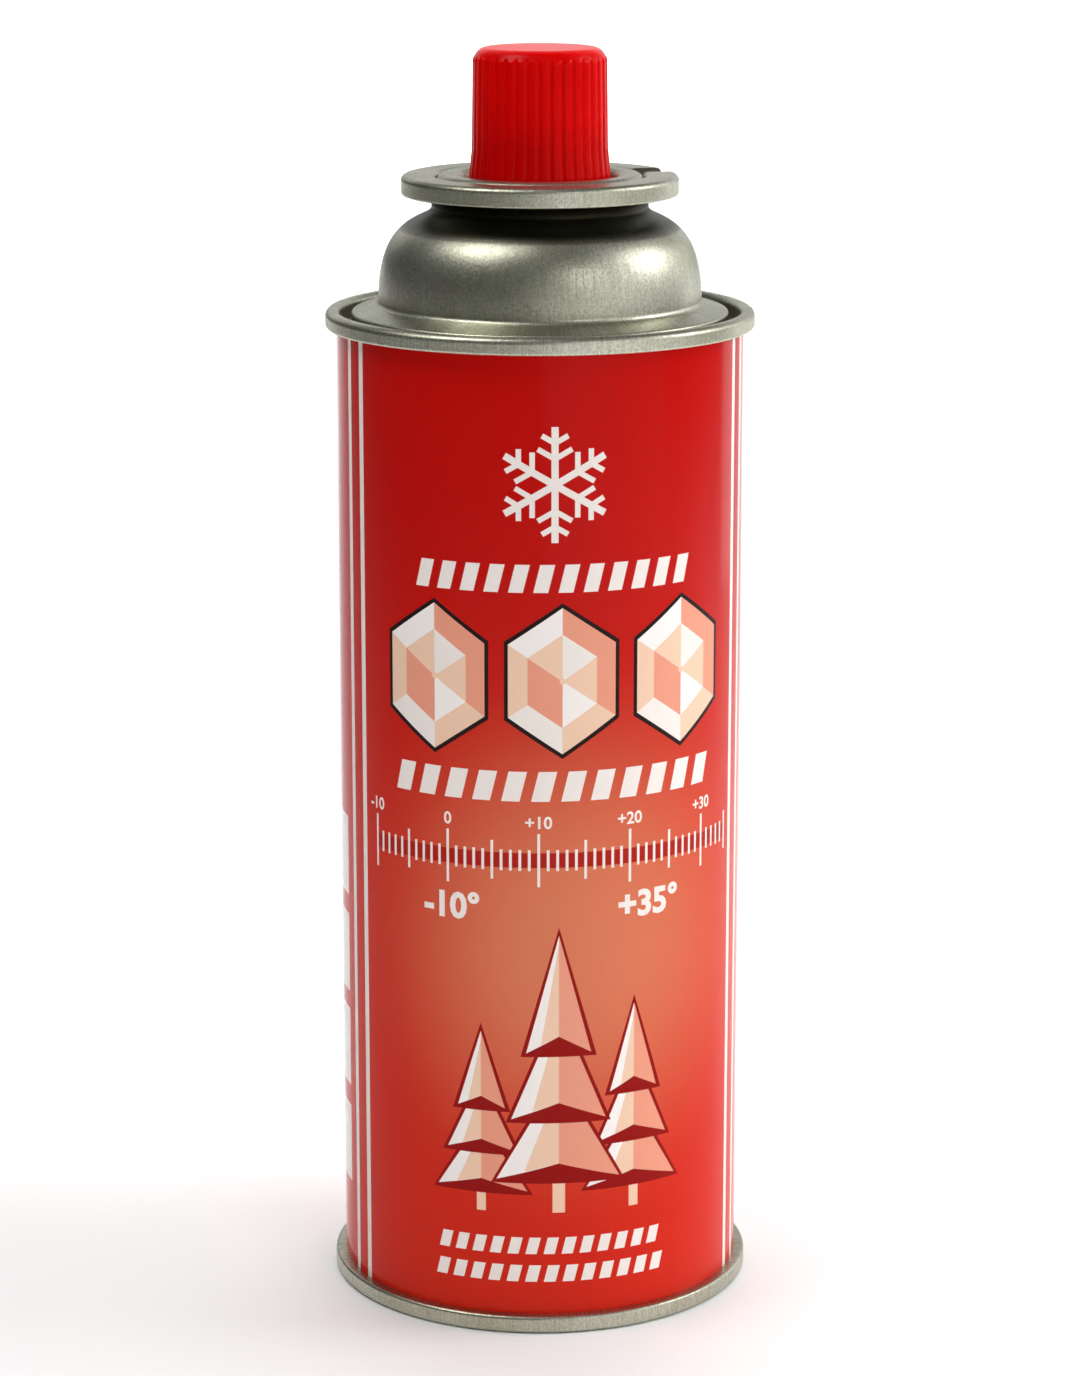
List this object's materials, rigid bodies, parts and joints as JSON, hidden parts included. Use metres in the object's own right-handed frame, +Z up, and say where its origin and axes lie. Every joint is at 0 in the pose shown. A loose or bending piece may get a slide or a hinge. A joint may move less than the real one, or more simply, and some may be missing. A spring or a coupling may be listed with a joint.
{
  "type": "fuel canister",
  "caption": "Upright tinplate gas canister with seamed ends, a notched collar round its valve cup, a sprung stem and a ribbed push-in cap.",
  "frame": {"origin": "middle of the foot, on the surface that the bottom seam stands on", "axes": "+Z up along the can's axis, towards the cap; -Y is the front of the print; the collar's notch is 20 degrees from +X towards +Y"},
  "size_m": [0.0684, 0.0684, 0.2017],
  "materials": {
    "printed_tinplate": "gloss print and lacquer on tinplate, bare on the ends",
    "bare_tinplate": "satin, with a faint rolled grain",
    "cap_plastic": "glossy moulded plastic",
    "valve_plastic": "satin moulded plastic",
    "seal_rubber": "matt",
    "spring_wire": "drawn wire"
  },
  "bodies": {
    "can": {"sealed_can": "printed_tinplate", "collar": "bare_tinplate", "valve_cup": "bare_tinplate", "stem_gasket": "seal_rubber", "valve_housing": "valve_plastic", "valve_spring": "spring_wire"},
    "valve_stem": {"valve_stem": "valve_plastic"},
    "cap": {"cap": "cap_plastic"}
  },
  "joints": [
    {"name": "cap_pull", "type": "slide", "parent": "can", "child": "cap", "axis": [0, 0, 1], "range_m": [0, 0.03]},
    {"name": "stem_press", "type": "slide", "parent": "can", "child": "valve_stem", "axis": [0, 0, 1], "range_m": [-0.002, 0], "stiffness_N_per_m": 2000, "deforming": ["valve_spring"]}
  ]
}
